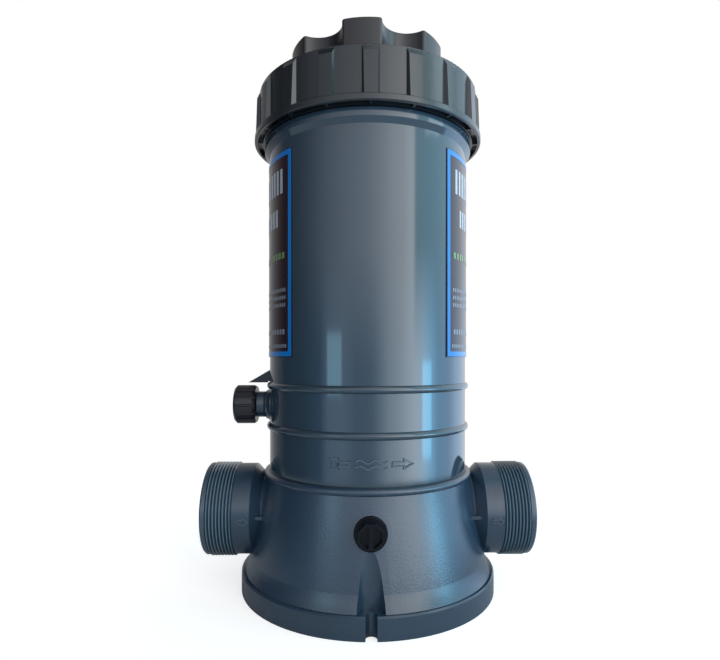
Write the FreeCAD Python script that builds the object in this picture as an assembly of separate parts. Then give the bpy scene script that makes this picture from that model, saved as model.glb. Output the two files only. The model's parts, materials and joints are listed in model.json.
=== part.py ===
import FreeCAD, Part
import math
import os

from FreeCAD import Vector

# Inline tablet chlorinator for a pool return line, in millimetres.
# +Z is up, the origin is the centre of the base's underside, -Y is the front,
# -X is the inlet side with the control valve and +X is the outlet side.

# Tank: the cylinder welded on the base's deck, from which the other radii are set off
tank_radius = 72.2
tank_height = 235.3
tank_wall = 5.0
tank_taper = 0.3
tongue_width = 2.0
tongue_depth = 2.8
weld_gap = 0.1
bead_rises = (32.1, 61.0)
bead_proud = 2.1
bead_tall = 5.0
collar_proud = 3.4
collar_tall = 5.8
collar_chamfer = 3.2
neck_inset = 1.3
neck_height = 26.2
neck_thread_proud = 2.2
neck_thread_pitch = 6.2
neck_thread_turns = 3
neck_thread_rise = 4.2
neck_thread_form = (0.2, 0.35, 0.55)

# Base: a flared skirt with a deck on top and a manifold pipe through it
base_height = 84.5
flange_overhang = 19.8
flange_height = 14.4
flange_wall = 4.6
flange_edge = 0.6
flange_rim_edge = 1.0
flange_ledge = 2.6
flare_depth = 6.5
flare_rise = 10.0
flare_middle = (0.44, 0.48)
cone_ledge = 2.1
cone_wall = 4.2
deck_thickness = 5.0
weld_bead_height = 4.6
weld_bead_proud = 1.8

# Ports and manifold
port_drop = 30.7
port_overhang = 25.0
port_bore_radius = 25.0
port_bore_depth = 38.0
manifold_bore_radius = 21.0
manifold_wall = 5.0
sleeve_radius = 32.7
sleeve_length = 12.3
sleeve_shoulder = 7.0
thread_radius = 33.8
thread_depth = 1.4
thread_pitch = 2.31
thread_turns = 8
lip_length = 3.7
lip_radius = 33.1
lip_edge = 1.0
saddle_start = 9.5
saddle_crest = 5.0
saddle_middle = 2.2
saddle_end = 0.3
saddle_proud = 5.0
saddle_middle_proud = 1.4
web_thickness = 2.4
web_reach = 3.2
face_groove_radius = 28.0
face_groove_width = 2.6
face_groove_depth = 1.6

# Mounting slots and the screw flutes above them
slot_width = 7.0
slot_inset = 2.9
flute_radius = 8.6
flute_wall = 4.0

# Lid with its lobed hand grip
lid_gap = 0.3
lid_overhang = 2.0
lid_flange_thick = 4.9
lid_skirt_depth = 9.8
lid_skirt_wall = 3.2
lid_skirt_gap = 0.4
lid_boss_inset = 14.3
lid_boss_rise = 5.4
crown_rise = 35.6
crown_inset = 2.5
crown_valley_depth = 12.6
crown_scallop_radius = 17.1
crown_lobes = 6
crown_first_lobe_angle = -5.2
crown_corner = 2.2
crown_edge = 1.2
crown_wall = 4.0
lid_ring_minor = 1.5
lid_ring_inset = 1.7

# Lock ring with ribs outside
ring_gap = 0.4
ring_height = 35.8
ring_thick = 9.8
panel_depth = 3.6
ring_lip_height = 4.4
ring_rib_count = 18
rib_top_half_angle = 2.5
rib_foot_half_angle = 4.4
rib_inset = 0.7
rib_draft = 0.9
rib_top_chamfer = 5.0
rib_top_drop = 1.2
ring_edge = 0.8
ring_flange_gap = 0.7
pocket_inset = 2.2
pocket_width = 3.8
pocket_depth = 3.4
pocket_web = 1.4

# Control valve on the inlet side
valve_rise = 46.5
valve_boss_proud = 2.8
valve_boss_foot_radius = 13.6
valve_boss_radius = 10.4
valve_boss_sweep = 0.7
valve_bore_radius = 8.0
fit_gap = 0.1
gasket_thick = 1.4
valve_neck_length = 5.6
valve_neck_radius = 9.5
stem_bore_radius = 4.5
stem_radius = 4.2
stem_end_radius = 3.2
stem_end_step = 2.0
needle_radius = 2.4
needle_tip_radius = 0.8
needle_taper = 4.8
stem_groove_radius = 2.8
stem_groove_width = 2.0
stem_ring_minor = 0.62
stem_ring_insets = (14.5, 9.5)
knob_gap = 0.3
knob_radius = 14.2
knob_length = 15.6
knob_chamfer = 1.6
knob_back_chamfer = 1.0
knob_groove_count = 14
knob_groove_radius = 0.9
knob_recess_radius = 8.2
knob_recess_depth = 1.5
screw_head_radius = 4.0
screw_head_height = 1.5
screw_head_form = (0.72, 0.75)
screw_radius = 1.3
screw_length = 7.0
screw_slot_width = 1.0
screw_slot_floor = 0.6

# Pointer fin above the knob
pointer_length = 16.6
pointer_rise = 16.2
pointer_tall = 9.8
pointer_thick = 2.6
pointer_seat_gap = 0.05

# Pipes inside
pipe_inset = 13.2
spigot_radius = 8.95
spigot_depth = 23.5
pipe_collar_radius = 11.5
pipe_collar_height = 3.0
nipple_length = 7.5
nipple_wall = 2.0
riser_radius = 8.0
riser_bore = 6.5
riser_rise = 10.0
riser_cap = 3.0
riser_arm_radius = 10.0
riser_arm_gap = 1.5
riser_outlet_radius = 2.6
ball_radius = 5.6
ball_lift = 5.0
ball_seat_gap = 0.3
stop_radius = 1.2
standpipe_radius = 9.5
standpipe_bore = 7.5
standpipe_rise = 120.5
overflow_slot_width = 3.0
overflow_slot_length = 26.0
overflow_slot_drop = 7.5

# Tablet grid
grid_rise = 19.0
grid_plate = 3.5
grid_gap = 0.5
grid_edge_width = 4.0
grid_rim_width = 6.0
grid_slot_width = 5.0
grid_slot_pitch = 10.0
grid_leg_radius = 3.5
grid_leg_inset = 26.7
pipe_clearance = 1.0

# Drain plug
drain_rise = 4.8
drain_recess_radius = 10.5
drain_recess_depth = 4.6
drain_bore_radius = 8.3
drain_boss_radius = 13.0
drain_back_rib = 3.0
plug_ring_room = 2.0
plug_flange_radius = 10.2
plug_flange_thick = 3.6
plug_step = 0.75
plug_step_length = 1.1
plug_head_length = 6.4
plug_face_radius = 8.5
plug_sides = 8
plug_edge = 1.0
plug_shank_gap = 0.3
plug_shank_length = 16.0
plug_bore_radius = 4.6
plug_bore_stop = 3.0
plug_pocket_depth = 3.4
plug_pocket_margin = 1.5
plug_bar_width = 3.0
plug_ring_minor = 0.85
plug_ring_major = 9.25

# Labels
label_rise = 81.5
label_drop = 16.3
label_thick = 0.4
label_seat_gap = 0.05
label_span_angle = 111.0
label_front_angle = 44.5

# How far cutters and joined pieces run past a face, and how near counts as equal
past = 1.0
tolerance = 0.01

UP = Vector(0, 0, 1)
RIGHT = Vector(1, 0, 0)
BACK = Vector(0, 1, 0)
ORIGIN = Vector(0, 0, 0)
FULL_TURN = 360.0
QUARTER_TURN = 90.0
ROUND = 1 - math.sqrt(0.5)

# Base heights and radii
flange_radius = tank_radius + flange_overhang
cone_foot_radius = flange_radius - flare_depth
cone_top_radius = tank_radius + cone_ledge
flare_top = flange_height + flare_rise
deck_bottom = base_height - deck_thickness
weld_bead_foot = base_height - weld_bead_height
slot_centre = flange_radius - slot_inset

# Manifold and ports
port_height = base_height - port_drop
port_reach = flange_radius + port_overhang
manifold_radius = manifold_bore_radius + manifold_wall
sleeve_end = port_reach - lip_length - thread_pitch * thread_turns
sleeve_start = sleeve_end - sleeve_length - sleeve_shoulder

# Tank
tank_bore_radius = tank_radius - tank_wall
tongue_middle = (tank_bore_radius + tank_radius) / 2
bead_heights = [base_height + rise for rise in bead_rises]
collar_radius = tank_radius + collar_proud
collar_top = base_height + tank_height
neck_radius = tank_radius - neck_inset
neck_top = collar_top + neck_height
neck_thread_radius = neck_radius + neck_thread_proud
neck_thread_start = collar_top + neck_thread_rise

# Lid and lock ring
lid_bottom = neck_top + lid_gap
lid_deck = lid_bottom + lid_flange_thick
lid_flange_radius = neck_radius + lid_overhang
lid_boss_radius = lid_flange_radius - lid_boss_inset
lid_ring_major = neck_radius - lid_ring_inset
crown_radius = lid_boss_radius - crown_inset
crown_valley_radius = crown_radius - crown_valley_depth
crown_top = lid_deck + crown_rise
ring_bottom = collar_top + ring_gap
ring_top = ring_bottom + ring_height
ring_radius = neck_thread_radius + ring_thick
rib_radius = ring_radius - rib_inset
ring_flange_bore = lid_boss_radius + ring_flange_gap

# Pipes inside
pipe_offset = tank_bore_radius - pipe_inset
spigot_bottom = base_height - spigot_depth
nipple_bottom = base_height + pipe_collar_height
nipple_top = nipple_bottom + nipple_length
riser_end = pipe_offset - riser_bore
riser_arm_end = pipe_offset + riser_bore
standpipe_top = base_height + standpipe_rise
nipple_seat = riser_bore - nipple_wall
ball_height = nipple_top + math.sqrt(ball_radius ** 2 - nipple_seat ** 2) + ball_seat_gap
stop_height = ball_height + ball_lift + ball_radius + stop_radius + ball_seat_gap

# Valve and pointer
valve_height = base_height + valve_rise
riser_top = valve_height + riser_rise
valve_boss_face = tank_radius + valve_boss_proud
neck_face = valve_boss_face + gasket_thick
neck_end = neck_face + valve_neck_length
knob_start = neck_end + knob_gap
knob_face = knob_start + knob_length
knob_floor = knob_face - knob_recess_depth
stem_end = knob_floor - screw_head_height
stem_ring_places = [neck_end - inset for inset in stem_ring_insets]
pointer_reach = tank_radius + pointer_length
pointer_bottom = valve_height + pointer_rise
pointer_top = pointer_bottom + pointer_tall

# Grid and label heights
grid_top = base_height + grid_rise
grid_bottom = grid_top - grid_plate
label_bottom = base_height + label_rise
label_top = collar_top - label_drop


def cone_radius(height):
    """Outer radius of the base's cone at a height above its flare."""
    share = (height - flare_top) / (weld_bead_foot - flare_top)
    return cone_foot_radius + share * (cone_top_radius - cone_foot_radius)


# Drain plug, measured outwards from the vessel's axis
drain_height = port_height + drain_rise
drain_recess_floor = cone_radius(drain_height) - drain_recess_depth
plug_flange_back = drain_recess_floor + plug_ring_room
plug_flange_front = plug_flange_back + plug_flange_thick
plug_head_start = plug_flange_front + 2 * plug_step_length
plug_face = plug_flange_front + plug_head_length
plug_shank_end = plug_flange_back - plug_shank_length


def outline(start, *steps):
    """Closed face in the XZ plane; a step is a point, or a pair (middle, end) for an arc."""
    edges = []
    here = Vector(start[0], 0, start[1])
    first = here
    for step in steps:
        if isinstance(step[0], tuple):
            middle = Vector(step[0][0], 0, step[0][1])
            end = Vector(step[1][0], 0, step[1][1])
            edges.append(Part.Arc(here, middle, end).toShape())
        else:
            end = Vector(step[0], 0, step[1])
            edges.append(Part.LineSegment(here, end).toShape())
        here = end
    if here.distanceToPoint(first) > tolerance:
        edges.append(Part.LineSegment(here, first).toShape())
    return Part.Face(Part.Wire(edges))


def turned(*points):
    """Turned solid along +Z from (radius, distance along the axis) points."""
    return outline(*points).revolve(ORIGIN, UP, FULL_TURN)


def aimed(solid, way, height):
    """Point a solid made along +Z to the left, right or front, at a height."""
    axis, angle = {
        "left": (BACK, -QUARTER_TURN),
        "right": (BACK, QUARTER_TURN),
        "front": (RIGHT, QUARTER_TURN),
    }[way]
    moved = solid.copy()
    moved.rotate(ORIGIN, axis, angle)
    moved.translate(Vector(0, 0, height))
    return moved


def rod(radius, start, end, x=0.0, y=0.0):
    """Upright cylinder between two heights."""
    return Part.makeCylinder(radius, end - start, Vector(x, y, start), UP)


def tube(radius, bore, start, end, x=0.0):
    """Upright pipe between two heights."""
    return rod(radius, start, end, x).cut(rod(bore, start, end, x))


def block(low, high):
    """Box between two corners."""
    size = Vector(*high).sub(Vector(*low))
    return Part.makeBox(size.x, size.y, size.z, Vector(*low))


def torus(major, minor, height):
    """Seal ring about the Z axis."""
    return Part.makeTorus(major, minor, Vector(0, 0, height), UP)


def polar(radius, degrees):
    """Point of the XY plane, its angle counted from the front towards the outlet."""
    angle = math.radians(degrees)
    return Vector(radius * math.sin(angle), -radius * math.cos(angle), 0)


def prism(points, bottom, top):
    """Upright prism over a polygon of XY points."""
    ring = [Vector(p.x, p.y, bottom) for p in points]
    face = Part.Face(Part.makePolygon(ring + [ring[0]]))
    return face.extrude(Vector(0, 0, top - bottom))


def slab(face, thickness):
    """Plate of a face in the XZ plane, centred on that plane."""
    plate = face.extrude(Vector(0, thickness, 0))
    plate.translate(Vector(0, -thickness / 2, 0))
    return plate


def around(solid, count):
    """Copies of a solid made at the front, spread evenly about the Z axis."""
    copies = []
    for i in range(count):
        copy = solid.copy()
        copy.rotate(ORIGIN, UP, i * FULL_TURN / count)
        copies.append(copy)
    return copies


def mirrored(solid):
    """The same solid behind the XZ plane."""
    return solid.mirror(ORIGIN, BACK)


def write(name, shape):
    shape.exportStep("parts/" + name + ".step")


def base_form():
    """The base's outside as one filled solid of revolution."""
    bead_middle = (weld_bead_foot + base_height) / 2
    ledge_radius = flange_radius - flange_ledge
    flare_point = (
        cone_foot_radius + (ledge_radius - cone_foot_radius) * flare_middle[0],
        flange_height + flare_rise * flare_middle[1],
    )
    return turned(
        (0, 0),
        (flange_radius, 0),
        (flange_radius, flange_height - flange_rim_edge),
        (flange_radius - flange_rim_edge, flange_height),
        (ledge_radius, flange_height),
        (flare_point, (cone_foot_radius, flare_top)),
        (cone_top_radius, weld_bead_foot),
        ((cone_top_radius + weld_bead_proud, bead_middle), (tank_radius, base_height)),
        (0, base_height),
    )


def base_hollow():
    """The open space under the deck, inside the skirt."""
    inner = flange_radius - flange_wall
    return turned(
        (0, -past),
        (inner, -past),
        (inner, flange_height - flange_wall),
        (cone_foot_radius - cone_wall, flare_top),
        (cone_radius(deck_bottom) - cone_wall, deck_bottom),
        (0, deck_bottom),
    )


def port():
    """One port outside, made along +Z, with its union thread as rings."""
    root = thread_radius - thread_depth
    saddle_top = (manifold_radius + saddle_middle_proud, sleeve_start - saddle_middle)
    points = [
        (0, 0),
        (manifold_radius, 0),
        (manifold_radius, sleeve_start - saddle_start),
        (manifold_radius + saddle_proud, sleeve_start - saddle_crest),
        (saddle_top, (manifold_radius, sleeve_start - saddle_end)),
        (manifold_radius, sleeve_start),
        (sleeve_radius, sleeve_start + sleeve_shoulder),
        (sleeve_radius, sleeve_end),
        (root, sleeve_end),
    ]
    for i in range(thread_turns):
        start = sleeve_end + i * thread_pitch
        points += [
            (thread_radius, start + thread_pitch / 2),
            (root, start + thread_pitch),
        ]
    points += [
        (lip_radius, port_reach - lip_length),
        (lip_radius, port_reach - lip_edge),
        (lip_radius - lip_edge, port_reach),
        (0, port_reach),
    ]
    return turned(*points)


def port_hollow():
    """Bore of one port with the seal groove in its end face."""
    bore = rod(manifold_bore_radius, -past, port_reach)
    mouth = rod(port_bore_radius, port_reach - port_bore_depth, port_reach + past)
    groove = tube(
        face_groove_radius + face_groove_width, face_groove_radius,
        port_reach - face_groove_depth, port_reach + past,
    )
    return bore.fuse([mouth, groove])


def port_web():
    """Level fin at the front that ties the back of a sleeve to the cone, at the right."""
    return block(
        (
            cone_top_radius - cone_wall,
            -manifold_radius - web_reach,
            port_height - web_thickness / 2,
        ),
        (
            sleeve_start + sleeve_shoulder,
            manifold_wall / 2 - manifold_radius,
            port_height + web_thickness / 2,
        ),
    )


def flute_hollow():
    """Screw flute in the front of the cone, with the open slot through the flange."""
    flute = rod(flute_radius, flange_height, weld_bead_foot, 0, -slot_centre)
    slot = rod(slot_width / 2, -past, flange_height + past, 0, -slot_centre)
    mouth = block(
        (-slot_width / 2, -flange_radius - past, -past),
        (slot_width / 2, -slot_centre, flange_height + past),
    )
    return flute.fuse([slot, mouth])


def flute_back():
    """Wall behind the flute, inside the skirt."""
    return rod(flute_radius + flute_wall, 0, weld_bead_foot - deck_thickness, 0, -slot_centre)


def drain_boss():
    """Round boss inside the skirt, from the manifold to the cone."""
    boss = rod(drain_boss_radius, manifold_bore_radius + past, slot_centre)
    return aimed(boss, "front", drain_height)


def drain_rib():
    """Upright rib behind the manifold, inside the skirt."""
    return block(
        (-drain_back_rib / 2, manifold_radius - past, flange_height),
        (drain_back_rib / 2, slot_centre, deck_bottom + past),
    )


def drain_hollow():
    """Bore into the manifold and the plug's recess in the cone."""
    bore = rod(drain_bore_radius, manifold_bore_radius - drain_bore_radius, drain_recess_floor + past)
    recess = rod(drain_recess_radius, drain_recess_floor, flange_radius)
    return aimed(bore.fuse(recess), "front", drain_height)


def weld_groove():
    """Groove in the deck that takes the tank's tongue."""
    half = tongue_width / 2 + weld_gap
    return tube(
        tongue_middle + half, tongue_middle - half,
        base_height - tongue_depth - weld_gap, base_height + past,
    )


def make_base():
    """One moulding: skirt, deck, manifold, ports, webs, flutes and drain boss."""
    form = base_form()
    shell = form.cut(base_hollow())
    inside = flute_back().fuse([mirrored(flute_back()), drain_boss(), drain_rib()])
    ports = aimed(port(), "left", port_height).fuse(aimed(port(), "right", port_height))
    ports = ports.cut(rod(sleeve_start, base_height, base_height + thread_radius))
    webs = port_web().fuse(mirrored(port_web()))
    webs = webs.fuse(webs.mirror(ORIGIN, RIGHT))
    body = shell.fuse(inside.common(form)).fuse(ports).fuse(webs)
    holes = [aimed(port_hollow(), way, port_height) for way in ("left", "right")]
    holes += [flute_hollow(), mirrored(flute_hollow()), drain_hollow(), weld_groove()]
    for x in (-pipe_offset, pipe_offset):
        holes.append(rod(spigot_radius + fit_gap, port_height, base_height + past, x))
    return body.cut(holes).removeSplitter()


def bead(radius, height):
    """Steps of the tank's profile that go up over one bead."""
    return [
        (radius, height - bead_tall / 2),
        ((radius + bead_proud, height), (radius, height + bead_tall / 2)),
    ]


def neck_profile():
    """Steps of the tank's profile from the collar up, with the neck thread as rings."""
    steps = [(neck_radius, collar_top)]
    rise, crest, fall = [share * neck_thread_pitch for share in neck_thread_form]
    for i in range(neck_thread_turns):
        start = neck_thread_start + i * neck_thread_pitch
        steps += [
            (neck_radius, start),
            (neck_thread_radius, start + rise),
            (neck_thread_radius, start + crest),
            (neck_radius, start + fall),
        ]
    return steps + [
        (neck_radius, neck_top - flange_edge),
        (neck_radius - flange_edge, neck_top),
        (tank_bore_radius, neck_top),
    ]


def valve_boss():
    """Round boss on the tank's inlet side, swept out of the wall."""
    middle = (tank_radius + valve_boss_face) / 2
    boss = turned(
        (0, tank_bore_radius - valve_boss_foot_radius),
        (valve_boss_foot_radius, tank_bore_radius - valve_boss_foot_radius),
        (valve_boss_foot_radius, tank_radius - past),
        ((valve_boss_radius + valve_boss_sweep, middle), (valve_boss_radius, valve_boss_face)),
        (0, valve_boss_face),
    )
    reach = 2 * valve_boss_foot_radius
    boss = aimed(boss, "left", valve_height)
    return boss.cut(rod(tank_bore_radius, valve_height - reach, valve_height + reach))


def make_tank():
    """Cylinder with two beads, collar, threaded neck, valve boss and weld tongue."""
    foot = tank_radius - tank_taper
    tongue_in = tongue_middle - tongue_width / 2
    tongue_out = tongue_middle + tongue_width / 2
    steps = [
        (tank_bore_radius, base_height),
        (tongue_in, base_height),
        (tongue_in, base_height - tongue_depth),
        (tongue_out, base_height - tongue_depth),
        (tongue_out, base_height),
        (foot, base_height),
    ]
    for rise in bead_rises:
        steps += bead(foot + tank_taper * rise / tank_height, base_height + rise)
    steps += [
        (tank_radius, collar_top - collar_tall - collar_chamfer),
        (collar_radius, collar_top - collar_tall),
        (collar_radius, collar_top - flange_edge),
        (collar_radius - flange_edge, collar_top),
    ]
    tank = turned(*(steps + neck_profile()))
    hole = rod(valve_bore_radius, tank_bore_radius - valve_bore_radius, valve_boss_face + past)
    return tank.fuse(valve_boss()).cut(aimed(hole, "left", valve_height)).removeSplitter()


def crown_form(radius, scallop, bottom, top):
    """Lobed prism: a disc with evenly spaced concave valleys."""
    disc = rod(radius, bottom, top)
    half_lobe = FULL_TURN / crown_lobes / 2
    place = polar(crown_valley_radius + crown_scallop_radius, half_lobe)
    cutter = rod(scallop, bottom - past, top + past, place.x, place.y)
    return disc.cut(around(cutter, crown_lobes))


def upright_edges(shape, near):
    """Straight upright edges close to a radius."""
    found = []
    for edge in shape.Edges:
        box = edge.BoundBox
        upright = box.ZLength > past and max(box.XLength, box.YLength) < tolerance
        if upright and abs(math.hypot(box.Center.x, box.Center.y) - near) < past:
            found.append(edge)
    return found


def level_edges(shape, height):
    """Edges that lie on a level."""
    found = []
    for edge in shape.Edges:
        box = edge.BoundBox
        if abs(box.ZMin - height) < tolerance and box.ZLength < tolerance:
            found.append(edge)
    return found


def lid_plate():
    """Flange that the lock ring clamps, with a low boss on it."""
    boss_top = lid_deck + lid_boss_rise
    return turned(
        (0, lid_bottom),
        (lid_flange_radius, lid_bottom),
        (lid_flange_radius, lid_deck - flange_edge),
        (lid_flange_radius - flange_edge, lid_deck),
        (lid_boss_radius, lid_deck),
        (lid_boss_radius, boss_top - flange_edge),
        (lid_boss_radius - flange_edge, boss_top),
        (0, boss_top),
    )


def lid_skirt():
    """Ring under the flange that centres the lid in the neck."""
    radius = tank_bore_radius - lid_skirt_gap
    foot = lid_bottom - lid_skirt_depth
    return turned(
        (radius - lid_skirt_wall, foot),
        (radius - flange_edge, foot),
        (radius, foot + flange_edge),
        (radius, lid_bottom + flange_edge),
        (radius - lid_skirt_wall, lid_bottom + flange_edge),
    )


def make_lid():
    """Cover with a plug skirt, clamped flange, seal groove and lobed hand grip."""
    crown = crown_form(crown_radius, crown_scallop_radius, lid_deck, crown_top)
    crown = crown.makeFillet(crown_corner, upright_edges(crown, crown_radius))
    crown = crown.makeFillet(crown_edge, level_edges(crown, crown_top))
    hollow = crown_form(
        crown_radius - crown_wall, crown_scallop_radius + crown_wall,
        lid_bottom - past, crown_top - crown_wall,
    )
    groove_half = lid_ring_minor + fit_gap
    groove = tube(
        lid_ring_major + groove_half, lid_ring_major - groove_half,
        lid_bottom - past, lid_bottom + 2 * lid_ring_minor,
    )
    lid = lid_plate().fuse([lid_skirt(), crown]).cut([hollow, groove])
    lid.rotate(ORIGIN, UP, crown_first_lobe_angle)
    return lid.removeSplitter()


def make_lid_ring():
    return torus(lid_ring_major, lid_ring_minor, lid_bottom + lid_ring_minor - fit_gap)


def ring_rib():
    """One raised grip rib, made at the front, with sloping sides."""
    foot = ring_radius - panel_depth - past
    outside = rib_radius + past
    corners = [
        polar(foot, -rib_foot_half_angle),
        polar(outside, -rib_top_half_angle),
        polar(outside, rib_top_half_angle),
        polar(foot, rib_foot_half_angle),
    ]
    return prism(corners, ring_bottom + ring_lip_height - past, ring_top)


def rib_envelope(bore):
    """Space that the ribs may fill, chamfered at its top."""
    return turned(
        (bore + past, ring_bottom),
        (rib_radius, ring_bottom),
        (rib_radius, ring_bottom + ring_lip_height),
        (rib_radius - rib_draft, ring_top - rib_top_chamfer),
        (ring_radius - panel_depth, ring_top - rib_top_drop),
        (bore + past, ring_top - rib_top_drop),
    )


def ring_pockets(bore):
    """Ring of pockets in the underside, with a web under each rib."""
    outer = ring_radius - pocket_inset
    pocket = tube(outer, outer - pocket_width, ring_bottom - past, ring_bottom + pocket_depth)
    web = block(
        (-pocket_web / 2, -ring_radius, ring_bottom - past),
        (pocket_web / 2, -bore, ring_bottom + pocket_depth),
    )
    return pocket.cut(around(web, ring_rib_count))


def make_lock_ring():
    """Clamp ring: a bored wall with an inward flange, a foot lip and raised ribs outside."""
    bore = neck_thread_radius + ring_gap
    panel = ring_radius - panel_depth
    lip_top = ring_bottom + ring_lip_height
    inner_top = lid_deck + lid_gap
    round_middle = (panel - ROUND * ring_edge, ring_top - ROUND * ring_edge)
    wall = turned(
        (bore, ring_bottom),
        (ring_radius - flange_edge, ring_bottom),
        (ring_radius, ring_bottom + flange_edge),
        (ring_radius, lip_top - flange_edge),
        (ring_radius - flange_edge, lip_top),
        (panel, lip_top),
        (panel, ring_top - ring_edge),
        (round_middle, (panel - ring_edge, ring_top)),
        (ring_flange_bore + flange_edge, ring_top),
        (ring_flange_bore, ring_top - flange_edge),
        (ring_flange_bore, inner_top),
        (bore, inner_top),
    )
    envelope = rib_envelope(bore)
    ribs = [rib.common(envelope) for rib in around(ring_rib(), ring_rib_count)]
    return wall.fuse(ribs).cut(ring_pockets(bore)).removeSplitter()


def make_valve_body():
    """Threaded bonnet in the tank's boss, bored for the stem."""
    shank = valve_bore_radius - fit_gap
    body = turned(
        (stem_bore_radius, riser_arm_end),
        (shank, riser_arm_end),
        (shank, neck_face),
        (valve_neck_radius, neck_face),
        (valve_neck_radius, neck_end - flange_edge),
        (valve_neck_radius - flange_edge, neck_end),
        (stem_bore_radius, neck_end),
    )
    return aimed(body, "left", valve_height)


def make_valve_gasket():
    ring = tube(valve_neck_radius, valve_bore_radius, valve_boss_face, neck_face)
    return aimed(ring, "left", valve_height)


def make_valve_stem():
    """Spindle with a needle tip, two seal grooves and a plain end for the knob."""
    shoulder = riser_arm_end + past
    points = [
        (0, riser_end + fit_gap),
        (needle_tip_radius, riser_end + fit_gap),
        (needle_radius, riser_end + needle_taper),
        (needle_radius, shoulder),
        (stem_radius, shoulder + stem_radius - needle_radius),
    ]
    for place in stem_ring_places:
        start = place - stem_groove_width / 2
        end = place + stem_groove_width / 2
        points += [
            (stem_radius, start),
            (stem_groove_radius, start),
            (stem_groove_radius, end),
            (stem_radius, end),
        ]
    points += [
        (stem_radius, neck_end - stem_end_step),
        (stem_end_radius, neck_end - stem_end_step),
        (stem_end_radius, stem_end),
        (0, stem_end),
    ]
    hole = rod(screw_radius + fit_gap, stem_end - screw_length - past, stem_end + past)
    return aimed(turned(*points).cut(hole), "left", valve_height)


def make_stem_rings():
    major = (stem_groove_radius + stem_bore_radius) / 2
    rings = []
    for place in stem_ring_places:
        rings.append(aimed(torus(major, stem_ring_minor, place), "left", valve_height))
    return Part.makeCompound(rings)


def make_valve_knob():
    """Grooved hand knob with chamfered rims and a recess for its screw."""
    bore = stem_end_radius + fit_gap
    knob = turned(
        (bore, knob_start),
        (knob_radius - knob_back_chamfer, knob_start),
        (knob_radius, knob_start + knob_chamfer),
        (knob_radius, knob_face - knob_chamfer),
        (knob_radius - knob_chamfer, knob_face),
        (knob_recess_radius, knob_face),
        (knob_recess_radius, knob_floor),
        (bore, knob_floor),
    )
    groove = rod(knob_groove_radius, knob_start - past, knob_face - knob_chamfer, 0, -knob_radius)
    return aimed(knob.cut(around(groove, knob_groove_count)), "left", valve_height)


def make_knob_screw():
    """Pan-head screw that holds the knob on the stem."""
    tip = stem_end - screw_length
    dome = (
        screw_head_radius * screw_head_form[0],
        knob_floor + screw_head_height * screw_head_form[1],
    )
    screw = turned(
        (0, tip),
        (screw_radius, tip),
        (screw_radius, knob_floor),
        (screw_head_radius, knob_floor),
        (dome, (0, knob_floor + screw_head_height)),
    )
    slot = block(
        (-screw_head_radius, -screw_slot_width / 2, knob_floor + screw_slot_floor),
        (screw_head_radius, screw_slot_width / 2, knob_face + past),
    )
    return aimed(screw.cut(slot), "left", valve_height)


def make_pointer():
    """Fin with a curved back on the tank and a flat foot on the upper bead."""
    seat = bead_heights[1] + bead_tall / 2 + pointer_seat_gap
    step = tank_radius + bead_proud + pointer_seat_gap
    root = tank_radius - 2 * past
    fin = outline(
        (-pointer_reach, pointer_bottom),
        (-root, pointer_top + past),
        (-root, seat),
        (-step, seat),
        (-step, pointer_bottom),
    )
    tank = rod(tank_radius + pointer_seat_gap, pointer_bottom - past, pointer_top + 2 * past)
    return slab(fin, pointer_thick).cut(tank)


def make_feed_pipe_foot(radius, bore, facing):
    """Spigot in the deck with a collar and a nipple; its foot is cut open to one side."""
    foot = rod(spigot_radius, spigot_bottom, base_height, pipe_offset)
    collar = rod(pipe_collar_radius, base_height, nipple_bottom, pipe_offset)
    nipple = rod(radius, nipple_bottom, nipple_top, pipe_offset)
    body = foot.fuse([collar, nipple])
    body = body.cut(rod(bore, spigot_bottom - past, nipple_top + past, pipe_offset))
    wedge = outline(
        (pipe_offset - spigot_radius - past, spigot_bottom - past),
        (pipe_offset + spigot_radius + past, spigot_bottom - past),
        (pipe_offset + spigot_radius + past, spigot_bottom + 2 * spigot_radius),
    )
    body = body.cut(slab(wedge, 2 * pipe_collar_radius))
    if facing == "left":
        body = body.mirror(ORIGIN, RIGHT)
    return body


def make_pickup_tube():
    return make_feed_pipe_foot(riser_bore - fit_gap, riser_bore - nipple_wall, "left")


def make_outlet_tube():
    return make_feed_pipe_foot(standpipe_bore - fit_gap, standpipe_bore - nipple_wall, "right")


def make_feed_riser():
    """Closed upright pipe with a socket arm that takes the valve, and an outlet hole opposite."""
    riser = rod(riser_radius, nipple_bottom, riser_top, -pipe_offset)
    arm = rod(riser_arm_radius, pipe_offset, tank_bore_radius - riser_arm_gap)
    riser = riser.fuse(aimed(arm, "left", valve_height))
    socket = rod(valve_bore_radius, riser_arm_end, tank_bore_radius)
    outlet = rod(riser_outlet_radius, pipe_offset - riser_radius - past, pipe_offset)
    throat = rod(stem_bore_radius, pipe_offset, riser_arm_end + past)
    holes = [aimed(cut, "left", valve_height) for cut in (socket, outlet, throat)]
    holes.append(rod(riser_bore, nipple_bottom - past, riser_top - riser_cap, -pipe_offset))
    half = (riser_radius + riser_bore) / 2
    stop = Part.makeCylinder(stop_radius, 2 * half, Vector(-pipe_offset, -half, stop_height), BACK)
    return riser.cut(holes).fuse(stop)


def make_check_ball():
    return Part.makeSphere(ball_radius, Vector(-pipe_offset, 0, ball_height))


def make_standpipe():
    """Overflow pipe with slots near its top."""
    pipe = tube(standpipe_radius, standpipe_bore, nipple_bottom, standpipe_top, pipe_offset)
    high = standpipe_top - overflow_slot_drop
    low = high - overflow_slot_length
    half = overflow_slot_width / 2
    reach = standpipe_radius + past
    across = block((pipe_offset - reach, -half, low), (pipe_offset + reach, half, high))
    along = block((pipe_offset - half, -reach, low), (pipe_offset + half, reach, high))
    return pipe.cut([across, along])


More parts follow.
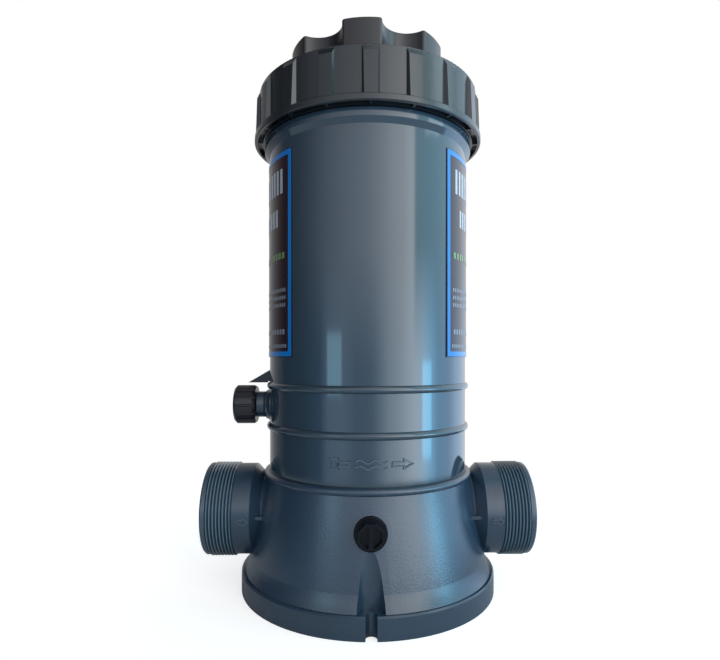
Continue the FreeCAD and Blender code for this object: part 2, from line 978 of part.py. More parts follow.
def make_tablet_grid():
    """Slotted round plate on four legs, with a flat at each side that clears the pipes."""
    rim = tank_bore_radius - grid_gap
    flat = pipe_offset - pipe_collar_radius - pipe_clearance
    plate = rod(rim, grid_bottom, grid_top)
    plate = plate.common(block((-flat, -rim, grid_bottom), (flat, rim, grid_top)))
    place = (rim - grid_leg_inset) * math.sqrt(0.5)
    legs = []
    for x in (-place, place):
        for y in (-place, place):
            legs.append(rod(grid_leg_radius, base_height, grid_bottom, x, y))
    rows = int((rim - grid_rim_width - grid_slot_width) / grid_slot_pitch)
    slots = []
    for row in range(-rows, rows + 1):
        middle = row * grid_slot_pitch
        chord = math.sqrt((rim - grid_rim_width) ** 2 - middle ** 2)
        reach = min(flat - grid_edge_width, chord)
        slots.append(block(
            (-reach, middle - grid_slot_width / 2, grid_bottom - past),
            (reach, middle + grid_slot_width / 2, grid_top + past),
        ))
    return plate.cut(slots).fuse(legs).removeSplitter()


def octagon(radius):
    """Corners of the drain plug's head, with a flat at each quarter."""
    step = FULL_TURN / plug_sides
    return [polar(radius, (i + 0.5) * step) for i in range(plug_sides)]


def make_drain_plug():
    """Plug with a stepped flange and a faceted head that leaves a thumb bar."""
    shank = drain_bore_radius - plug_shank_gap
    plug = turned(
        (0, plug_shank_end),
        (shank - plug_edge, plug_shank_end),
        (shank, plug_shank_end + plug_edge),
        (shank, plug_flange_back),
        (plug_flange_radius, plug_flange_back),
        (plug_flange_radius, plug_flange_front),
        (plug_flange_radius - plug_step, plug_flange_front),
        (plug_flange_radius - plug_step, plug_flange_front + plug_step_length),
        (plug_flange_radius - 2 * plug_step, plug_flange_front + plug_step_length),
        (plug_flange_radius - 2 * plug_step, plug_head_start),
        (0, plug_head_start),
    )
    plug = plug.fuse(prism(octagon(plug_face_radius), plug_head_start - past, plug_face))
    floor = plug_face - plug_pocket_depth
    well = prism(octagon(plug_face_radius - plug_pocket_margin), floor, plug_face + past)
    bar = block(
        (-plug_bar_width / 2, -plug_face_radius, floor - past),
        (plug_bar_width / 2, plug_face_radius, plug_face + 2 * past),
    )
    bore = rod(plug_bore_radius, plug_shank_end - past, plug_flange_back - plug_bore_stop)
    return aimed(plug.cut([well.cut(bar), bore]), "front", drain_height)


def make_drain_ring():
    middle = (drain_recess_floor + plug_flange_back) / 2
    return aimed(torus(plug_ring_major, plug_ring_minor, middle), "front", drain_height)


def make_label(side):
    """Curved label on the tank, from its front edge round to the back."""
    inner = tank_radius + label_seat_gap
    strip = outline(
        (inner, label_bottom),
        (inner + label_thick, label_bottom),
        (inner + label_thick, label_top),
        (inner, label_top),
    )
    label = strip.revolve(ORIGIN, UP, label_span_angle)
    front = label_front_angle if side == "right" else -label_front_angle - label_span_angle
    label.rotate(ORIGIN, UP, front - QUARTER_TURN)
    return label


os.makedirs("parts", exist_ok=True)
write("base", make_base())
write("tank", make_tank())
write("lid", make_lid())
write("lid_o_ring", make_lid_ring())
write("lock_ring", make_lock_ring())
write("valve_body", make_valve_body())
write("valve_gasket", make_valve_gasket())
write("valve_stem", make_valve_stem())
write("stem_o_rings", make_stem_rings())
write("valve_knob", make_valve_knob())
write("knob_screw", make_knob_screw())
write("valve_pointer", make_pointer())
write("pickup_tube", make_pickup_tube())
write("feed_riser", make_feed_riser())
write("check_ball", make_check_ball())
write("outlet_tube", make_outlet_tube())
write("standpipe", make_standpipe())
write("tablet_grid", make_tablet_grid())
write("drain_plug", make_drain_plug())
write("drain_o_ring", make_drain_ring())
write("left_label", make_label("left"))
write("right_label", make_label("right"))
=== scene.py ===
import json
import math

import bmesh
import bpy
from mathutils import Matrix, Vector


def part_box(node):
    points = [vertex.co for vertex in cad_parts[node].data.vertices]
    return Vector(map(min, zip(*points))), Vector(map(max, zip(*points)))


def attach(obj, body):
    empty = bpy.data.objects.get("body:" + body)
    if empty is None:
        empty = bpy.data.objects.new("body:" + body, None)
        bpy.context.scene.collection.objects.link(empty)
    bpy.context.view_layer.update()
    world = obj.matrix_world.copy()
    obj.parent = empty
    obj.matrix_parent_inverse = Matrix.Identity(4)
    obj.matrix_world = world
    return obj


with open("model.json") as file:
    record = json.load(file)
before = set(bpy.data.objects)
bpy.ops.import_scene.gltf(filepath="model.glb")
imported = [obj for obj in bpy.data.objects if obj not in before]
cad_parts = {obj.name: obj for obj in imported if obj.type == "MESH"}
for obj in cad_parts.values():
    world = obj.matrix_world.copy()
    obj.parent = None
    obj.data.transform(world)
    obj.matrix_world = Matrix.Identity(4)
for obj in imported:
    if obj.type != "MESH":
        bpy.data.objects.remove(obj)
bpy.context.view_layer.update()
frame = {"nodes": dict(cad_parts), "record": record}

# Inline pool chlorinator: finish of every CAD node, printed labels, raised flow marks,
# floor, light and camera. Lengths are in metres, angles in degrees.

NODES = frame["nodes"]

# Camera, as a fitted perspective of the photograph
PHOTO_WIDTH = 720
FOCAL_PIXELS = 545.5
HORIZON_DROP_PIXELS = 28.7
CENTRE_SHIFT_PIXELS = 1.3
SENSOR_MM = 36.0
CAMERA_DISTANCE = 0.4091
CAMERA_HEIGHT = 0.1649
CAMERA_AZIMUTH = -1.55
CAMERA_TURN = 0.9
CAMERA_NEAR = 0.01

# Tank and labels; a label starts LABEL_FRONT degrees to the side of the front
TANK_RADIUS = 0.0722
LABEL_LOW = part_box("right_label")[0].z
LABEL_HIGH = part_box("right_label")[1].z
LABEL_RADIUS = max(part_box("right_label")[1].x, -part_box("left_label")[0].x)
LABEL_FRONT = 44.5
LABEL_SPAN = 111.0

# Print; character sizes are shares of their row's height. A step is the width in degrees of
# the columns that a flat shape is cut into before it is wrapped on a wall, and a cut closer
# than the margin to the shape's end is left out.
PRINT_THICK = 0.00012
PRINT_GAP = 0.00002
PRINT_STEP = 2.0
CUT_MARGIN = 1e-6
BORDER_WIDTH = 0.0032
BORDER_INSET = 0.0005
BORDER_INSET_ANGLE = 0.4
TITLE_LINE = 0.0030
TITLE_STEP = 0.0054
CHARACTER_WIDTH = 0.75
CHARACTER_STEP = 1.15
# Title rows: low, high, start from the label's front edge, number of bars
TITLE_ROWS = [(0.2756, 0.2920, 0.0105, 17), (0.2540, 0.2658, 0.0175, 9)]
# Small rows: low, high, start and end from the label's front edge
SMALL_ROWS = [
    ("_green_line", "leaf_ink", [(0.2318, 0.2360, 0.0080, 0.1200)]),
    ("_lines", "grey_ink", [
        (0.2096, 0.2120, 0.0070, 0.0900),
        (0.2046, 0.2070, 0.0070, 0.1020),
        (0.1996, 0.2020, 0.0070, 0.0780),
        (0.1812, 0.1846, 0.0080, 0.1080),
        (0.1722, 0.1746, 0.0060, 0.0940),
    ]),
]

# Raised marks; blocks and arrows are (left, right, half of the height)
MARK_THICK = 0.0008
MARK_SINK = 0.0003
MARK_STEP = 1.0
TANK_MARK_HEIGHT = 0.0992
TANK_MARK_LINE = 0.0009
TANK_BLOCKS = [(-0.0256, -0.0205, 0.0031), (-0.0205, -0.0130, 0.0014)]
TANK_ARROW = (0.0140, 0.0276, 0.0031)
WAVE_LEFT = -0.0090
WAVE_RIGHT = 0.0105
WAVE_ROWS = (-0.0018, 0.0018)
WAVE_SWING = 0.0011
WAVE_COUNT = 2
WAVE_STEPS = 12
ARROW_NECK = 0.55
ARROW_SHAFT = 0.42
PORT_MARKS = (("inlet_mark", -0.0872), ("outlet_mark", 0.0902))
PORT_MARK_LINE = 0.0008
PORT_MARK_DROP = 0.0015
PORT_ARROW = (-0.0036, 0.0036, 0.0028)

# Ports; a painted highlight makes the thread's crests paler between two depths below their top
PORT_HEIGHT = 0.0538
SLEEVE_RADIUS = 0.0327
THREAD_RADIUS = 0.0338
THREAD_START = 0.0955
THREAD_FADE = 0.0003
CREST_HIGHLIGHT_DEEP = 0.0008
CREST_HIGHLIGHT_SHALLOW = 0.0001

# Floor
FLOOR_RADIUS = 0.45
FLOOR_SEGMENTS = 96
FLOOR_DARK = (0.66, 0.66, 0.66, 1)
FLOOR_PALE = (0.7, 0.7, 0.7, 1)
FLOOR_ROUGHNESS = 0.9
FLOOR_GLOW = 0.7

# Surround: its level, and the rises of a direction (as sines) over which it changes
SURROUND_LEVEL = 1.0
ZENITH_LEVEL = 0.35
LOWER_END = -0.02
UPPER_START = 0.2
UPPER_END = 0.35
ZENITH_START = 0.95

# Soft boxes: distance from the axis and usual height of their aim
LAMP_DISTANCE = 0.6
LAMP_AIM = 0.07

# The haze in a plastic's gloss is this many times finer than its colour drift
HAZE_RATIO = 3.1

# Nodes with a finish of their own in place of their slot's
OWN_FINISH = {"drain_plug": "plug_plastic"}

# Studio surround by direction: (degrees from the front towards the outlet, red, green, blue)
UPPER_LIGHT = [
    (-180, 0.50, 0.50, 0.50), (-150, 0.50, 0.50, 0.50), (-128, 0.30, 0.30, 0.31),
    (-110, 0.06, 0.06, 0.07), (-84, 0.08, 0.08, 0.09), (-68, 0.20, 0.20, 0.22),
    (-50, 0.42, 0.46, 0.50), (-40, 0.56, 0.60, 0.66), (-15, 0.85, 0.90, 0.95),
    (0, 1.05, 1.10, 1.15), (14, 1.50, 1.55, 1.60), (28, 2.05, 2.10, 2.10),
    (38, 2.30, 2.35, 2.30), (50, 2.80, 3.00, 2.95), (54, 0.85, 1.30, 1.45),
    (80, 0.80, 1.40, 1.60), (112, 1.20, 1.60, 1.90), (138, 1.25, 1.40, 1.60),
    (160, 0.80, 0.80, 0.80),
]
LOWER_LIGHT = [
    (-180, 0.50, 0.50, 0.50), (-150, 0.45, 0.45, 0.45), (-128, 0.22, 0.22, 0.24),
    (-110, 0.04, 0.05, 0.06), (-77, 0.03, 0.06, 0.09), (-55, 0.10, 0.20, 0.34),
    (-45, 0.50, 0.72, 1.00), (-30, 0.55, 0.76, 1.00), (-14, 0.34, 0.44, 0.60),
    (-2, 0.34, 0.44, 0.60), (6, 0.48, 0.62, 0.78), (14, 0.95, 1.15, 1.40),
    (22, 1.45, 1.75, 1.95), (32, 1.85, 2.20, 2.45), (44, 2.60, 3.00, 3.30),
    (54, 3.00, 3.50, 4.00), (64, 2.60, 3.80, 4.80), (73, 1.50, 3.20, 4.80),
    (84, 0.90, 1.80, 2.70), (102, 0.95, 1.45, 2.10), (118, 1.30, 1.80, 2.50),
    (140, 1.20, 1.45, 1.70), (160, 0.80, 0.80, 0.80),
]


def srgb(red, green, blue):
    """Linear colour from 0-255 screen values."""
    def channel(value):
        value /= 255.0
        return value / 12.92 if value <= 0.04045 else ((value + 0.055) / 1.055) ** 2.4
    return (channel(red), channel(green), channel(blue), 1.0)


def shaded(colour, share):
    """A colour at a share of its brightness."""
    return tuple(c * share for c in colour[:3]) + (1.0,)


class NodeTree:
    """Adds nodes to one node tree."""

    def __init__(self, tree):
        self.tree = tree

    def add(self, kind, **values):
        node = self.tree.nodes.new(kind)
        for key, value in values.items():
            setattr(node, key, value)
        return node

    def add_ramp(self, stops):
        """Colour ramp through (place, colour) stops."""
        ramp = self.add("ShaderNodeValToRGB")
        elements = ramp.color_ramp.elements
        while len(elements) < len(stops):
            elements.new(0.5)
        for element, (place, colour) in zip(elements, stops):
            element.position = place
            element.color = colour
        return ramp


class Graph(NodeTree):
    """A new material with its shader. The calls take and return nodes."""

    def __init__(self, name):
        self.material = bpy.data.materials.new(name)
        self.material.use_nodes = True
        super().__init__(self.material.node_tree)
        self.tree.nodes.clear()
        self.output = self.add("ShaderNodeOutputMaterial")
        self.shader = self.add("ShaderNodeBsdfPrincipled")
        self.link(self.shader, "BSDF", self.output, "Surface")
        self.place = self.add("ShaderNodeTexCoord")

    def link(self, source, out_name, target, in_name):
        self.tree.links.new(source.outputs[out_name], target.inputs[in_name])

    def noise(self, scale, detail=3.0, roughness=0.5, stretch=(1, 1, 1)):
        mapping = self.add("ShaderNodeMapping")
        mapping.inputs["Scale"].default_value = stretch
        self.link(self.place, "Object", mapping, "Vector")
        noise = self.add("ShaderNodeTexNoise")
        noise.inputs["Scale"].default_value = scale
        noise.inputs["Detail"].default_value = detail
        noise.inputs["Roughness"].default_value = roughness
        self.link(mapping, "Vector", noise, "Vector")
        return noise

    def spread(self, source, out_name, low, high):
        """Map 0..1 to low..high."""
        node = self.add("ShaderNodeMapRange")
        node.inputs["To Min"].default_value = low
        node.inputs["To Max"].default_value = high
        self.link(source, out_name, node, "Value")
        return node

    def tint(self, noise, first, last, places=(0.3, 0.7)):
        """Colour the surface between two tones by a noise."""
        ramp = self.add_ramp(list(zip(places, (first, last))))
        self.link(noise, "Fac", ramp, "Fac")
        self.link(ramp, "Color", self.shader, "Base Color")

    def gloss(self, noise, low, high):
        """Vary the roughness between two values by a noise."""
        self.link(self.spread(noise, "Fac", low, high), "Result", self.shader, "Roughness")

    def bump(self, noise, distance, below=None):
        """Relief by a noise, on top of the bump below it."""
        bump = self.add("ShaderNodeBump")
        bump.inputs["Strength"].default_value = 1.0
        bump.inputs["Distance"].default_value = distance
        self.link(noise, "Fac", bump, "Height")
        if below:
            self.link(below, "Normal", bump, "Normal")
        return bump

    def finish(self, bump):
        """Put the last bump on the surface and give the material."""
        self.link(bump, "Normal", self.shader, "Normal")
        return self.material


class SocketGraph(NodeTree):
    """Arithmetic in a node tree. The calls take and return sockets."""

    def math(self, operation, first, second=None):
        node = self.add("ShaderNodeMath", operation=operation)
        for socket, value in zip(node.inputs, (first, second)):
            if isinstance(value, (int, float)):
                socket.default_value = value
            elif value is not None:
                self.tree.links.new(value, socket)
        return node.outputs["Value"]

    def spread(self, source, from_low, from_high, to_low=0.0, to_high=1.0):
        """Map from_low..from_high to to_low..to_high."""
        node = self.add("ShaderNodeMapRange")
        node.inputs["From Min"].default_value = from_low
        node.inputs["From Max"].default_value = from_high
        node.inputs["To Min"].default_value = to_low
        node.inputs["To Max"].default_value = to_high
        self.tree.links.new(source, node.inputs["Value"])
        return node.outputs["Result"]

    def azimuth_ramp(self, source, stops):
        """Colour ramp over a full turn; source is 0 at the back and 0.5 at the front."""
        ramp = self.add_ramp([
            ((degrees + 180) / 360, (*colour, 1.0)) for degrees, *colour in stops
        ])
        self.tree.links.new(source, ramp.inputs["Fac"])
        return ramp.outputs["Color"]


def plastic(name, colour, shade=0.86, rough=(0.3, 0.4), grain=2200.0, grain_depth=0.00002,
            mottle=30.0, flow=None, specular=0.5):
    """Moulded plastic: slow colour drift, uneven gloss, fine grain and, if asked, flow lines."""
    graph = Graph(name)
    graph.tint(graph.noise(mottle, detail=4.0, roughness=0.6), shaded(colour, shade), colour)
    graph.gloss(graph.noise(mottle * HAZE_RATIO, detail=5.0, roughness=0.65), *rough)
    graph.shader.inputs["Specular IOR Level"].default_value = specular
    bump = graph.bump(graph.noise(grain, detail=2.0, roughness=0.6), grain_depth)
    if flow:
        scale, depth = flow
        waves = graph.noise(scale, detail=2.0, roughness=0.4, stretch=(1.0, 1.0, 0.12))
        bump = graph.bump(waves, depth, bump)
    return graph.finish(bump)


def base_plastic(name, colour, crest_highlight_colour):
    """Satin base plastic with a painted highlight: the thread crests are paler than the grooves.
    """
    material = plastic(name, colour, shade=0.86, rough=(0.2, 0.27), grain=950.0,
                       grain_depth=0.00012, mottle=22.0, specular=1.0)
    tree = material.node_tree
    shader = next(node for node in tree.nodes if node.type == "BSDF_PRINCIPLED")
    tone = shader.inputs["Base Color"].links[0].from_socket
    graph = SocketGraph(tree)
    parts = graph.add("ShaderNodeSeparateXYZ")
    place = graph.add("ShaderNodeTexCoord")
    tree.links.new(place.outputs["Object"], parts.inputs["Vector"])
    rise = graph.math("SUBTRACT", parts.outputs["Z"], PORT_HEIGHT)
    rise_square = graph.math("MULTIPLY", rise, rise)
    depth_square = graph.math("MULTIPLY", parts.outputs["Y"], parts.outputs["Y"])
    radius = graph.math("SQRT", graph.math("ADD", rise_square, depth_square))
    # Painted highlight: the thread crests get a paler colour near their tops
    crest_highlight_share = graph.spread(radius, THREAD_RADIUS - CREST_HIGHLIGHT_DEEP, THREAD_RADIUS - CREST_HIGHLIGHT_SHALLOW)
    along = graph.math("ABSOLUTE", parts.outputs["X"])
    reach = graph.spread(along, THREAD_START, THREAD_START + THREAD_FADE)
    mix = graph.add("ShaderNodeMixRGB")
    tree.links.new(graph.math("MULTIPLY", crest_highlight_share, reach), mix.inputs["Fac"])
    tree.links.new(tone, mix.inputs["Color1"])
    mix.inputs["Color2"].default_value = crest_highlight_colour
    tree.links.new(mix.outputs["Color"], shader.inputs["Base Color"])
    return material


def rubber(name, colour):
    """Dull rubber with a pale bloom."""
    graph = Graph(name)
    bloom = graph.noise(260.0, detail=4.0, roughness=0.6)
    pale = tuple(min(1.0, c * 1.8 + 0.006) for c in colour[:3]) + (1.0,)
    graph.tint(bloom, colour, pale, (0.35, 0.75))
    graph.gloss(bloom, 0.55, 0.75)
    return graph.finish(graph.bump(graph.noise(3000.0), 0.00003))


def steel(name):
    """Stainless steel with fine turned lines."""
    graph = Graph(name)
    graph.shader.inputs["Metallic"].default_value = 1.0
    lines = graph.noise(1800.0, detail=3.0, roughness=0.6, stretch=(1.0, 0.06, 1.0))
    graph.tint(lines, srgb(150, 152, 155), srgb(205, 206, 208))
    graph.gloss(lines, 0.22, 0.4)
    return graph.finish(graph.bump(lines, 0.00001))


def film(name, colour):
    """Printed film: ink with faint mottling under a glossy laminate."""
    graph = Graph(name)
    graph.tint(graph.noise(900.0, detail=3.0, roughness=0.7), shaded(colour, 0.85), colour)
    graph.gloss(graph.noise(60.0, detail=3.0, roughness=0.5), 0.16, 0.24)
    return graph.finish(graph.bump(graph.noise(45.0, detail=2.0, roughness=0.4), 0.00012))


def make_materials():
    """Every finish, by its name."""
    return {
        "tank_plastic": plastic(
            "tank_plastic", srgb(49, 65, 77), shade=0.92, rough=(0.06, 0.1), grain=1500.0,
            grain_depth=0.000005, mottle=16.0, flow=(26.0, 0.0004), specular=1.0,
        ),
        # The second colour of base_plastic is the painted highlight on the thread crests
        "base_plastic": base_plastic("base_plastic", srgb(40, 62, 82), srgb(124, 146, 156)),
        "ring_plastic": plastic(
            "ring_plastic", srgb(30, 34, 38), shade=0.84, rough=(0.18, 0.27), grain=1700.0,
            mottle=30.0, flow=(60.0, 0.0003), specular=0.9,
        ),
        "lid_plastic": plastic(
            "lid_plastic", srgb(39, 34, 36), shade=0.86, rough=(0.24, 0.34), grain=1700.0,
            mottle=34.0, specular=0.7,
        ),
        "black_plastic": plastic(
            "black_plastic", srgb(33, 30, 37), shade=0.8, rough=(0.24, 0.36), grain=2100.0,
            mottle=60.0, specular=0.6,
        ),
        "plug_plastic": plastic(
            "plug_plastic", srgb(8, 14, 24), shade=0.8, rough=(0.22, 0.32), grain=2100.0,
            mottle=60.0, specular=0.3,
        ),
        "inner_plastic": plastic(
            "inner_plastic", srgb(84, 96, 108), shade=0.9, rough=(0.3, 0.42), grain=2100.0,
            mottle=40.0,
        ),
        "grid_plastic": plastic(
            "grid_plastic", srgb(205, 207, 204), shade=0.92, rough=(0.35, 0.5), grain=1800.0,
            grain_depth=0.00003, mottle=40.0,
        ),
        # Raised marks: paler than the plastic they are moulded in, a painted highlight on their
        # edges
        "mark_highlight_plastic": plastic(
            "mark_highlight_plastic", srgb(84, 99, 114), shade=0.9, rough=(0.28, 0.38), grain=2100.0,
            mottle=60.0,
        ),
        "seal_rubber": rubber("seal_rubber", srgb(26, 26, 27)),
        "screw_steel": steel("screw_steel"),
        "label_film": film("label_film", srgb(44, 22, 27)),
        "border_ink": film("border_ink", srgb(2, 126, 206)),
        "white_ink": film("white_ink", srgb(182, 184, 190)),
        "grey_ink": film("grey_ink", srgb(128, 130, 138)),
        "leaf_ink": film("leaf_ink", srgb(112, 138, 88)),
    }


MATERIALS = make_materials()


def dress_nodes():
    """Give every CAD node its own finish or that of its material slot."""
    for part in frame["record"]["subparts"]:
        node = NODES[part["node"]]
        finish = MATERIALS[OWN_FINISH.get(part["node"], part["material_slot"])]
        node.data.materials.clear()
        node.data.materials.append(finish)


def around_tank(radius, degrees, height):
    """Point on the tank; the angle runs from the front towards the outlet."""
    angle = math.radians(degrees)
    return Vector((radius * math.sin(angle), -radius * math.cos(angle), height))


def around_port(radius, degrees, along):
    """Point on a port's sleeve; the angle runs up from the front."""
    angle = math.radians(degrees)
    return Vector((along, -radius * math.cos(angle), PORT_HEIGHT + radius * math.sin(angle)))


def degrees_a_metre(radius):
    """Degrees that a metre takes round a wall."""
    return math.degrees(1 / radius)


def new_piece(name, mesh, finish, body):
    piece = bpy.data.objects.new(name, mesh)
    bpy.context.scene.collection.objects.link(piece)
    mesh.materials.append(MATERIALS[finish])
    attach(piece, body)


def plate_on_wall(mesh, corners, radius, thick, step, place):
    """Cut a flat convex polygon into columns and wrap it on the wall as a closed plate."""
    flat = bmesh.new()
    flat.faces.new([flat.verts.new((a, h, 0)) for a, h in corners])
    low = min(a for a, h in corners)
    high = max(a for a, h in corners)
    cut = math.floor(low / step) * step + step
    while cut < high - CUT_MARGIN:
        geometry = flat.verts[:] + flat.edges[:] + flat.faces[:]
        bmesh.ops.bisect_plane(flat, geom=geometry, plane_co=(cut, 0, 0), plane_no=(1, 0, 0))
        cut += step
    inner = {}
    outer = {}
    for vert in flat.verts:
        inner[vert] = mesh.verts.new(place(radius, vert.co.x, vert.co.y))
        outer[vert] = mesh.verts.new(place(radius + thick, vert.co.x, vert.co.y))
    for face in flat.faces:
        mesh.faces.new([outer[v] for v in face.verts])
        mesh.faces.new([inner[v] for v in reversed(face.verts)])
    for edge in flat.edges:
        if len(edge.link_faces) == 1:
            a, b = edge.verts
            mesh.faces.new([inner[a], inner[b], outer[b], outer[a]])
    flat.free()


def wrapped(name, shapes, radius, thick, finish, step, place):
    """Thin raised shapes on a round wall, each a convex list of (degrees, height) corners."""
    mesh = bmesh.new()
    for corners in shapes:
        plate_on_wall(mesh, corners, radius, thick, step, place)
    bmesh.ops.recalc_face_normals(mesh, faces=mesh.faces)
    data = bpy.data.meshes.new(name)
    mesh.to_mesh(data)
    mesh.free()
    new_piece(name, data, finish, "vessel")


def bar(left, right, low, high):
    return [(left, low), (right, low), (right, high), (left, high)]


def frame_bars(left, right, low, high, wide_angle, wide):
    """Four bars of a rectangular border."""
    return [
        bar(left, left + wide_angle, low, high),
        bar(right - wide_angle, right, low, high),
        bar(left + wide_angle, right - wide_angle, low, low + wide),
        bar(left + wide_angle, right - wide_angle, high - wide, high),
    ]


def make_label_print(name, side):
    """Border, title bars and rows on one label. Rows start at the edge next to the front."""
    start = LABEL_FRONT
    degree = degrees_a_metre(LABEL_RADIUS)

    def put(suffix, shapes, ink):
        if side < 0:
            shapes = [[(-a, h) for a, h in reversed(corners)] for corners in shapes]
        wrapped(name + suffix, shapes, LABEL_RADIUS + PRINT_GAP, PRINT_THICK, ink,
                PRINT_STEP, around_tank)

    put("_border", frame_bars(
        start + BORDER_INSET_ANGLE, start + LABEL_SPAN - BORDER_INSET_ANGLE,
        LABEL_LOW + BORDER_INSET, LABEL_HIGH - BORDER_INSET,
        BORDER_WIDTH * degree, BORDER_WIDTH,
    ), "border_ink")
    title = []
    for low, high, first, count in TITLE_ROWS:
        for i in range(count):
            place = start + (first + i * TITLE_STEP) * degree
            title.append(bar(place, place + TITLE_LINE * degree, low, high))
    put("_title", title, "white_ink")
    for suffix, ink, rows in SMALL_ROWS:
        shapes = []
        for low, high, first, last in rows:
            place = start + first * degree
            while place < start + last * degree:
                wide = (high - low) * CHARACTER_WIDTH * degree
                shapes.append(bar(place, place + wide, low, high))
                place += (high - low) * CHARACTER_STEP * degree
        put(suffix, shapes, ink)


def stroke(start, end, line, degree):
    """Thin bar between two points given as (metres along, height)."""
    along = Vector((end[0] - start[0], end[1] - start[1]))
    across = Vector((-along.y, along.x)).normalized() * line / 2
    along = along.normalized() * line / 2
    points = [
        (start[0] - along.x - across.x, start[1] - along.y - across.y),
        (end[0] + along.x - across.x, end[1] + along.y - across.y),
        (end[0] + along.x + across.x, end[1] + along.y + across.y),
        (start[0] - along.x + across.x, start[1] - along.y + across.y),
    ]
    return [(x * degree, h) for x, h in points]


def path_strokes(points, line, degree, closed):
    """Strokes along a path, or round an outline."""
    pairs = list(zip(points, points[1:] + points[:1]))
    if not closed:
        pairs = pairs[:-1]
    return [stroke(a, b, line, degree) for a, b in pairs]


def block_points(left, right, half):
    """Corners of an upright rectangle about height 0."""
    return [(left, -half), (right, -half), (right, half), (left, half)]


def arrow_points(left, right, half):
    """Corners of an arrow about height 0 that points to the outlet."""
    neck = left + ARROW_NECK * (right - left)
    shaft = ARROW_SHAFT * half
    return [
        (left, -shaft), (neck, -shaft), (neck, -half), (right, 0.0),
        (neck, half), (neck, shaft), (left, shaft),
    ]


def wave_points(row):
    """Points of one wavy line at a height."""
    points = []
    for i in range(WAVE_STEPS + 1):
        share = i / WAVE_STEPS
        swing = WAVE_SWING * math.sin(share * WAVE_COUNT * 2 * math.pi)
        points.append((WAVE_LEFT + share * (WAVE_RIGHT - WAVE_LEFT), row + swing))
    return points


def make_tank_mark():
    """Raised blocks, waves and arrow on the tank's foot that show the way of the water, paler
    than the tank as a painted highlight.
    """
    paths = [(block_points(*block), True) for block in TANK_BLOCKS]
    paths += [(wave_points(row), False) for row in WAVE_ROWS]
    paths.append((arrow_points(*TANK_ARROW), True))
    shapes = []
    for points, closed in paths:
        lifted = [(x, TANK_MARK_HEIGHT + h) for x, h in points]
        shapes += path_strokes(lifted, TANK_MARK_LINE, degrees_a_metre(TANK_RADIUS), closed)
    wrapped("flow_mark", shapes, TANK_RADIUS - MARK_SINK, MARK_THICK, "mark_highlight_plastic",
            MARK_STEP, around_tank)


def make_port_marks():
    """Small raised arrows on both sleeves, on their front just below the axis, paler than the
    sleeve as a painted highlight.
    """
    for name, middle in PORT_MARKS:
        outline = [(h - PORT_MARK_DROP, middle + x) for x, h in arrow_points(*PORT_ARROW)]
        strokes = path_strokes(outline, PORT_MARK_LINE, degrees_a_metre(SLEEVE_RADIUS), True)
        wrapped(name, strokes, SLEEVE_RADIUS - MARK_SINK, MARK_THICK, "mark_highlight_plastic",
                MARK_STEP, around_port)


def make_floor():
    """Pale round floor that keeps the shadow and looks white to the camera."""
    mesh = bmesh.new()
    bmesh.ops.create_circle(mesh, cap_ends=True, segments=FLOOR_SEGMENTS, radius=FLOOR_RADIUS)
    data = bpy.data.meshes.new("floor")
    mesh.to_mesh(data)
    mesh.free()
    floor = bpy.data.objects.new("floor", data)
    bpy.context.scene.collection.objects.link(floor)
    graph = Graph("floor_paint")
    graph.tint(graph.noise(120.0, detail=3.0, roughness=0.5), FLOOR_DARK, FLOOR_PALE)
    graph.shader.inputs["Roughness"].default_value = FLOOR_ROUGHNESS
    glow = graph.add("ShaderNodeEmission")
    ray = graph.add("ShaderNodeLightPath")
    strength = graph.spread(ray, "Is Camera Ray", 0.0, FLOOR_GLOW)
    graph.link(strength, "Result", glow, "Strength")
    total = graph.add("ShaderNodeAddShader")
    graph.tree.links.new(graph.shader.outputs["BSDF"], total.inputs[0])
    graph.tree.links.new(glow.outputs["Emission"], total.inputs[1])
    graph.link(total, "Shader", graph.output, "Surface")
    data.materials.append(graph.material)


def make_world():
    """White backdrop, and a soft studio surround that is brightest at the right front."""
    world = bpy.data.worlds.new("studio")
    bpy.context.scene.world = world
    world.use_nodes = True
    world.node_tree.nodes.clear()
    graph = SocketGraph(world.node_tree)
    link = graph.tree.links.new
    coordinates = graph.add("ShaderNodeTexCoord")
    parts = graph.add("ShaderNodeSeparateXYZ")
    link(coordinates.outputs["Generated"], parts.inputs["Vector"])
    forward = graph.math("MULTIPLY", parts.outputs["Y"], -1.0)
    azimuth = graph.math("ARCTAN2", parts.outputs["X"], forward)
    turn = graph.spread(azimuth, -math.pi, math.pi)
    upper = graph.azimuth_ramp(turn, UPPER_LIGHT)
    lower = graph.azimuth_ramp(turn, LOWER_LIGHT)
    level = graph.add("ShaderNodeMixRGB")
    link(graph.spread(parts.outputs["Z"], LOWER_END, UPPER_START), level.inputs["Fac"])
    link(lower, level.inputs["Color1"])
    link(upper, level.inputs["Color2"])
    surround = graph.add("ShaderNodeBackground")
    link(level.outputs["Color"], surround.inputs["Color"])
    strength = graph.spread(
        parts.outputs["Z"], UPPER_END, ZENITH_START, SURROUND_LEVEL, ZENITH_LEVEL
    )
    link(strength, surround.inputs["Strength"])
    white = graph.add("ShaderNodeBackground")
    white.inputs["Color"].default_value = (1, 1, 1, 1)
    white.inputs["Strength"].default_value = 1.0
    ray = graph.add("ShaderNodeLightPath")
    mix = graph.add("ShaderNodeMixShader")
    link(ray.outputs["Is Camera Ray"], mix.inputs["Fac"])
    link(surround.outputs["Background"], mix.inputs[1])
    link(white.outputs["Background"], mix.inputs[2])
    link(mix.outputs["Shader"], graph.add("ShaderNodeOutputWorld").inputs["Surface"])


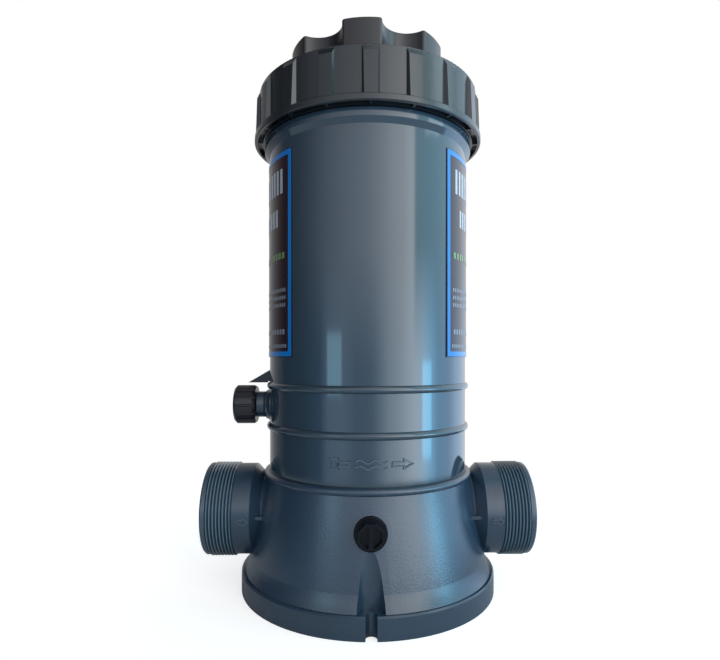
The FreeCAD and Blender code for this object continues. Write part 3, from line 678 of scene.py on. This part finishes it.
def add_lamp(name, degrees, height, size, level, colour, aim_height=LAMP_AIM):
    """Soft box; the angle runs as on the tank, and the level is its radiance."""
    place = around_tank(LAMP_DISTANCE, degrees, height)
    aim = Vector((0, 0, aim_height))
    light = bpy.data.lights.new(name, "AREA")
    light.shape = "RECTANGLE"
    light.size, light.size_y = size
    light.energy = level * math.pi * size[0] * size[1]
    light.color = colour
    lamp = bpy.data.objects.new(name, light)
    bpy.context.scene.collection.objects.link(lamp)
    lamp.location = place
    lamp.rotation_euler = (aim - place).to_track_quat("-Z", "Y").to_euler()


def make_camera():
    """Level camera at the photograph's distance and height, with the crop's side shift."""
    azimuth = math.radians(CAMERA_AZIMUTH)
    turn = math.radians(CAMERA_AZIMUTH + CAMERA_TURN)
    towards = Vector((-math.sin(turn), math.cos(turn), 0))
    data = bpy.data.cameras.new("camera")
    data.sensor_width = SENSOR_MM
    data.lens = FOCAL_PIXELS / PHOTO_WIDTH * SENSOR_MM
    data.shift_x = CENTRE_SHIFT_PIXELS / PHOTO_WIDTH
    data.shift_y = HORIZON_DROP_PIXELS / PHOTO_WIDTH
    data.clip_start = CAMERA_NEAR
    camera = bpy.data.objects.new("camera", data)
    bpy.context.scene.collection.objects.link(camera)
    place = Vector((math.sin(azimuth), -math.cos(azimuth), 0)) * CAMERA_DISTANCE
    camera.location = place + Vector((0, 0, CAMERA_HEIGHT))
    camera.rotation_euler = towards.to_track_quat("-Z", "Y").to_euler()
    bpy.context.scene.camera = camera


dress_nodes()
make_label_print("left_label", -1)
make_label_print("right_label", 1)
make_tank_mark()
make_port_marks()
make_floor()
make_world()
add_lamp("right_box", degrees=64.0, height=0.08, size=(0.12, 0.16), level=4.0,
         colour=(0.14, 0.58, 0.92))
add_lamp("left_box", degrees=-36.0, height=0.155, size=(0.16, 0.10), level=1.7,
         colour=(0.36, 0.78, 1.0))
add_lamp("upper_box", degrees=72.0, height=0.64, size=(0.22, 0.2), level=1.6,
         colour=(0.85, 0.95, 1.0), aim_height=0.33)
make_camera()
bpy.context.scene.view_settings.view_transform = "Standard"
